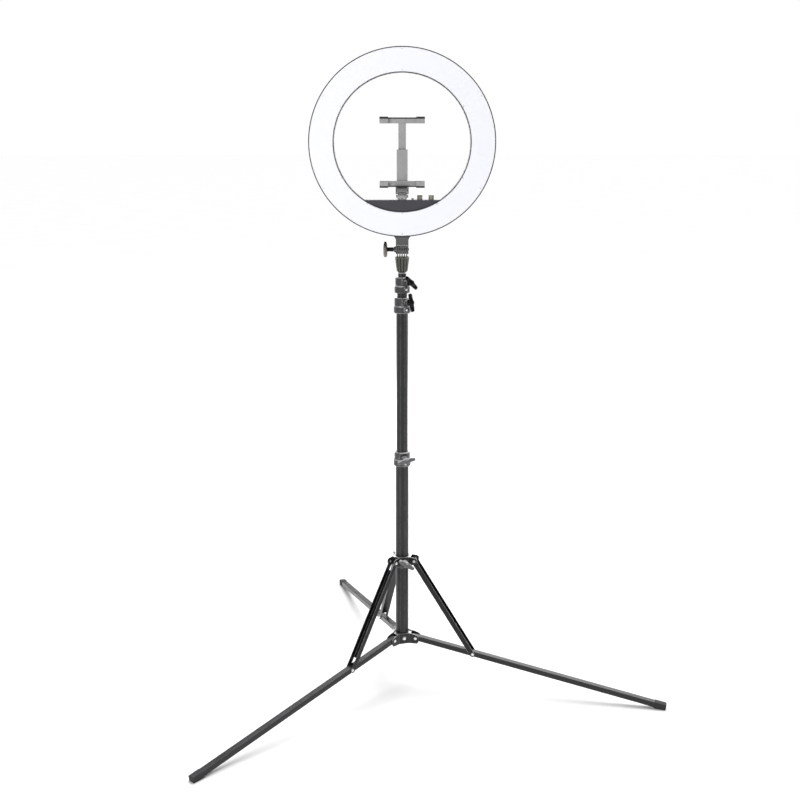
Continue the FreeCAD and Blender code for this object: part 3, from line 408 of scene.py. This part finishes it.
def paint_cad():
    paint_column()
    paint_castings()
    paint_fasteners()
    paint_legs()
    paint_knuckle()
    paint_ring()
    paint_control_box()
    paint_holder()


# ---- moulded and turned pieces ----------------------------------------------------
def body_mesh(name, points, faces):
    mesh = bpy.data.meshes.new(name)
    mesh.from_pydata([tuple(p) for p in points], [], faces)
    made = bpy.data.objects.new(name, mesh)
    bpy.context.scene.collection.objects.link(made)
    return made


def skin(name, rings):
    """Closed shell through rings that all have the same number of points."""
    count = len(rings[0])
    points = [p for ring in rings for p in ring]
    faces = [tuple(reversed(range(count)))]
    for i in range(len(rings) - 1):
        for j in range(count):
            k = (j + 1) % count
            faces.append((i * count + j, i * count + k, (i + 1) * count + k, (i + 1) * count + j))
    faces.append(tuple(range((len(rings) - 1) * count, len(rings) * count)))
    return body_mesh(name, points, faces)


def turned(name, profile, sides, scallop=None):
    """Shell turned about X from (x, radius) pairs; scallop(radius, angle) trims the radius."""
    rings = []
    for x, radius in profile:
        ring = []
        for j in range(sides):
            a = 2 * math.pi * j / sides
            r = radius - (scallop(radius, a) if scallop else 0.0)
            ring.append(Vector((x, r * math.cos(a), r * math.sin(a))) * MM)
        rings.append(ring)
    return skin(name, rings)


def melt(name, shells, voxel, rounds):
    """Joins closed shells into one moulded skin with blended corners."""
    form = bmesh.new()
    for shell in shells:
        form.from_mesh(shell.data)
    mesh = bpy.data.meshes.new(name)
    form.to_mesh(mesh)
    form.free()
    for shell in shells:
        bpy.data.objects.remove(shell)
    made = bpy.data.objects.new(name, mesh)
    bpy.context.scene.collection.objects.link(made)
    remesh = made.modifiers.new("remesh", "REMESH")
    remesh.mode = "VOXEL"
    remesh.voxel_size = voxel
    smooth = made.modifiers.new("smooth", "SMOOTH")
    smooth.factor = 0.5
    smooth.iterations = rounds
    bpy.context.view_layer.update()
    found = made.evaluated_get(bpy.context.evaluated_depsgraph_get())
    baked = bpy.data.meshes.new_from_object(found)
    made.modifiers.clear()
    made.data = baked
    return made


def soften(made):
    for face in made.data.polygons:
        face.use_smooth = True


# wing knobs: azimuth and height of the axis, middle of the wings, turn, and where hub and stud end
FRONT = math.radians(-73.66)
SIDE = math.radians(-48.0)
WING_KNOBS = {
    "collar_knob": (FRONT, 351.0, 44.0, -34.0, 23.0, 18.5),
    "mid_clamp_knob": (FRONT, 642.0, 42.0, 12.0, 31.5, 16.05),
    "clamp_2_knob": (SIDE, 1066.0, 36.0, -78.0, 27.5, 13.8),
    "clamp_3_knob": (SIDE, 1118.0, 36.0, -42.0, 27.5, 11.55),
}
WING_HALF = 24.8
WING_OUTLINE = ((0.0, 7.0), (0.12, 7.0), (0.36, 6.5), (0.62, 5.9), (0.9, 4.9), (0.965, 4.3), (1.0, 2.9))
WING_SHAPE = 2.6            # 2 is a round section, more is squarer
WING_STEPS = 120
WING_SIDES = 40
HUB_REACH = 4.5             # front of the hub beyond the middle of the wings
MELT_VOXEL = 0.5 * MM


def along_table(table, at):
    for (a, low), (b, high) in zip(table, table[1:]):
        if at <= b:
            return low + (high - low) * (at - a) / (b - a)
    return table[-1][1]


def wing_thickness(at):
    """Half thickness of a wing: full at the hub, waisted, ribbed where it is gripped, thin at the tip."""
    waist = 1.25 * math.exp(-((at - 0.5) / 0.2) ** 2)
    grip = 0.28 * math.cos(at * 58.0) if 0.42 < at < 0.92 else 0.0
    tip = 2.4 * max(0.0, at - 0.93) / 0.07
    return 4.35 - waist - tip + grip


def wings(middle_x):
    rings = []
    for i in range(WING_STEPS + 1):
        along = -1 + 2 * i / WING_STEPS
        tall = along_table(WING_OUTLINE, abs(along))
        thick = wing_thickness(abs(along))
        ring = []
        for j in range(WING_SIDES):
            a = 2 * math.pi * j / WING_SIDES
            c, s = math.cos(a), math.sin(a)
            x = middle_x + math.copysign(abs(c) ** (2 / WING_SHAPE), c) * thick
            z = math.copysign(abs(s) ** (2 / WING_SHAPE), s) * tall
            ring.append(Vector((x, along * WING_HALF, z)) * MM)
        rings.append(ring)
    return skin("wings", rings)


def wing_knob(node, material):
    turn, height, middle_x, tilt, hub_start, stud_end = WING_KNOBS[node]
    front = middle_x + HUB_REACH
    hub = turned("hub", [(hub_start, 6.9), (hub_start + 0.7, 7.7), (front - 2.2, 7.7), (front - 0.6, 7.1),
                         (front, 6.2), (front + 0.15, 5.4), (front - 0.5, 5.0), (front - 0.5, 4.4),
                         (front + 0.9, 3.6), (front + 1.1, 0.02)], 64)
    stud = turned("stud", [(stud_end, 2.4), (stud_end + 0.6, 2.95), (hub_start + 2, 2.95)], 40)
    made = melt(node + "_moulded", [wings(middle_x), hub, stud], MELT_VOXEL, 4)
    place = Matrix.Rotation(turn, 4, "Z") @ Matrix.Translation((0, 0, height * MM))
    made.matrix_world = place @ Matrix.Rotation(math.radians(tilt), 4, "X")
    soften(made)
    made.data.materials.append(material)
    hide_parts(node)
    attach(made, node)


TILT_HEIGHT = 1203.0
THREAD_PITCH = 1.4
THREAD_SPAN = (-39.6, -24.2)
COIN_TEETH = 64
COIN_DEPTH = 0.40
COIN_FACE = 20.15           # only the rim outside this radius is toothed


def tilt_knob(disc_material, shaft_material):
    """Coin-edged plated disc on a threaded black bolt."""
    def coin_edge(radius, angle):
        if radius < COIN_FACE:
            return 0.0
        return COIN_DEPTH * (0.5 + 0.5 * math.cos(COIN_TEETH * angle))

    outline = [(-47.3, 0.02), (-47.4, 5.6), (-48.0, 7.2), (-48.8, 9.0), (-49.0, 12.5),
               (-48.8, 16.0), (-48.1, 18.2), (-47.0, 19.6), (-45.8, 20.2), (-45.6, 20.4),
               (-41.8, 20.4), (-41.6, 20.2), (-40.4, 19.6), (-39.4, 18.2), (-38.7, 16.0),
               (-38.5, 11.0), (-39.3, 8.4), (-38.6, 7.4), (-38.45, 0.02)]
    disc = turned("tilt_knob_disc", outline, 512, coin_edge)
    rings = []
    x = THREAD_SPAN[0]
    while x < THREAD_SPAN[1]:
        rings += [(x, 5.75), (x + 0.25, 5.95), (x + 0.65, 5.95), (x + 0.9, 5.25), (x + 1.15, 5.25)]
        x += THREAD_PITCH
    bolt = [(-40.0, 0.02), (-40.0, 5.2)] + rings
    bolt += [(-22.95, 5.4), (-22.9, 3.0), (17.4, 3.0), (17.9, 2.6), (17.95, 0.02)]
    shaft = turned("tilt_knob_shaft", bolt, 64)
    for made, material, slot in ((disc, disc_material, "chrome"), (shaft, shaft_material, "black_plate")):
        made.location = (0, 0, TILT_HEIGHT * MM)
        made.data.materials.append(material)
        for face in made.data.polygons:
            face.use_smooth = abs(face.normal.x) > 0.3 and made is disc
        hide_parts("tilt_knob")
        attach(made, "tilt_knob")


# ---- floor, light and camera ------------------------------------------------------
FLOOR_RADIUS = 60.0
FLOOR_SINK = 0.2 * MM       # keeps the floor just below the feet


def studio_floor():
    mesh = bpy.data.meshes.new("studio_floor")
    form = bmesh.new()
    bmesh.ops.create_circle(form, cap_ends=True, radius=FLOOR_RADIUS, segments=96)
    form.to_mesh(mesh)
    form.free()
    floor = bpy.data.objects.new("studio_floor", mesh)
    bpy.context.scene.collection.objects.link(floor)
    floor.location.z = -FLOOR_SINK
    n = Nodes("pale_floor")
    shader = n.add("ShaderNodeBsdfPrincipled")
    n.link(shader.outputs["BSDF"], n.out.inputs["Surface"])
    tone = n.spread(n.noise(n.place(), 2.2, 4.0), 0.3, 0.7, 0.0, 1.0)
    n.link(n.mix(tone, (0.93, 0.93, 0.93), (0.95, 0.95, 0.95)), shader.inputs["Base Color"])
    shader.inputs["Roughness"].default_value = 0.85
    shader.inputs["Specular IOR Level"].default_value = 0.1
    floor.data.materials.append(n.material)


def softbox(name, position, target, size, power):
    light = bpy.data.lights.new(name, "AREA")
    light.shape = "RECTANGLE"
    light.size, light.size_y = size
    light.energy = power
    made = bpy.data.objects.new(name, light)
    made.visible_camera = False
    made.location = position
    made.rotation_euler = (Vector(target) - Vector(position)).to_track_quat("-Z", "Y").to_euler()
    bpy.context.scene.collection.objects.link(made)


def studio_light():
    """White surround for the eye, a dim one for the object, a broad sun and three softboxes."""
    world = bpy.data.worlds.new("studio")
    bpy.context.scene.world = world
    world.use_nodes = True
    tree = world.node_tree
    seen = tree.nodes["Background"]
    seen.inputs["Color"].default_value = (1.0, 1.0, 1.0, 1)
    felt = tree.nodes.new("ShaderNodeBackground")
    felt.inputs["Color"].default_value = (0.97, 0.98, 1.0, 1)
    felt.inputs["Strength"].default_value = ROOM_LIGHT
    path = tree.nodes.new("ShaderNodeLightPath")
    choose = tree.nodes.new("ShaderNodeMixShader")
    tree.links.new(path.outputs["Is Camera Ray"], choose.inputs[0])
    tree.links.new(felt.outputs[0], choose.inputs[1])
    tree.links.new(seen.outputs[0], choose.inputs[2])
    tree.links.new(choose.outputs[0], tree.nodes["World Output"].inputs["Surface"])
    sun = bpy.data.lights.new("broad_sun", "SUN")
    sun.energy = SUN_LIGHT
    sun.angle = math.radians(50)
    made = bpy.data.objects.new("broad_sun", sun)
    made.rotation_euler = Vector((-0.15, -0.40, -1.0)).to_track_quat("-Z", "Y").to_euler()
    bpy.context.scene.collection.objects.link(made)
    softbox("front_left", (-1.5, -3.6, 2.4), (0, 0, 0.9), (1.2, 1.2), FRONT_LIGHT)
    softbox("rim_right", (3.0, 0.8, 1.6), (0, 0, 0.9), (0.6, 2.4), RIM_LIGHT)
    softbox("back_panel", (0.0, 3.6, 1.9), (0, 0, 0.3), (5.0, 2.0), BACK_LIGHT)


CAMERA_PLACE = (0.0, -3.0233, 1.5202)
CAMERA_DROOP = 10.45        # degrees below level
CAMERA_LENS = 52.29
CAMERA_SHIFT = (-0.0027, -0.075)


def camera():
    eye = bpy.data.cameras.new("camera")
    eye.sensor_width = 36.0
    eye.lens = CAMERA_LENS
    eye.shift_x, eye.shift_y = CAMERA_SHIFT
    eye.clip_end = 200
    made = bpy.data.objects.new("camera", eye)
    made.location = CAMERA_PLACE
    made.rotation_euler = (math.radians(90 - CAMERA_DROOP), 0, 0)
    bpy.context.scene.collection.objects.link(made)
    bpy.context.scene.camera = made


paint_cad()
make_knobs()
studio_floor()
studio_light()
camera()
bpy.context.scene.view_settings.view_transform = "Standard"
